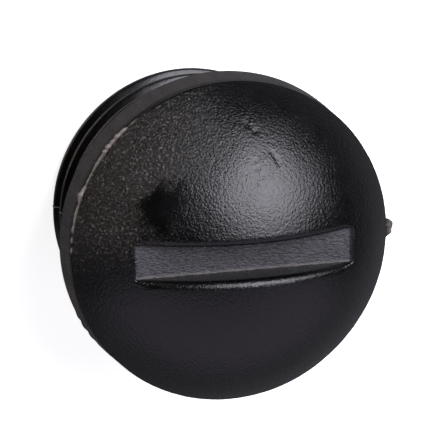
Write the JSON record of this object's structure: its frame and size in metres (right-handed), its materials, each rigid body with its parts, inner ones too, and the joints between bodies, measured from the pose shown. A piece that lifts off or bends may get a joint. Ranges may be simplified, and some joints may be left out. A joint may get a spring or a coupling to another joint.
{
  "type": "slotted blanking plug",
  "caption": "Threaded plastic plug with a domed, slotted head and a sealing ring under it, for closing an unused pipe or fitting port.",
  "frame": {"origin": "centre of the head's flat underside, on the thread's axis", "axes": "+Z along the thread's axis and out through the dome; the driver slot runs along X, with the gate's vestige near +X"},
  "size_m": [0.0257, 0.0248, 0.0192],
  "materials": {
    "plug_plastic": "black moulded polyamide with a fine leathery grain",
    "ring_rubber": "black nitrile, satin, with a faint parting line"
  },
  "bodies": {
    "plug": {"plug_body": "plug_plastic"},
    "seal": {"sealing_ring": "ring_rubber"}
  },
  "joints": [
    {"name": "ring_turn", "type": "hinge", "parent": "plug", "child": "seal", "pos_m": [0, 0, -0.00095], "axis": [0, 0, 1], "continuous": true}
  ]
}
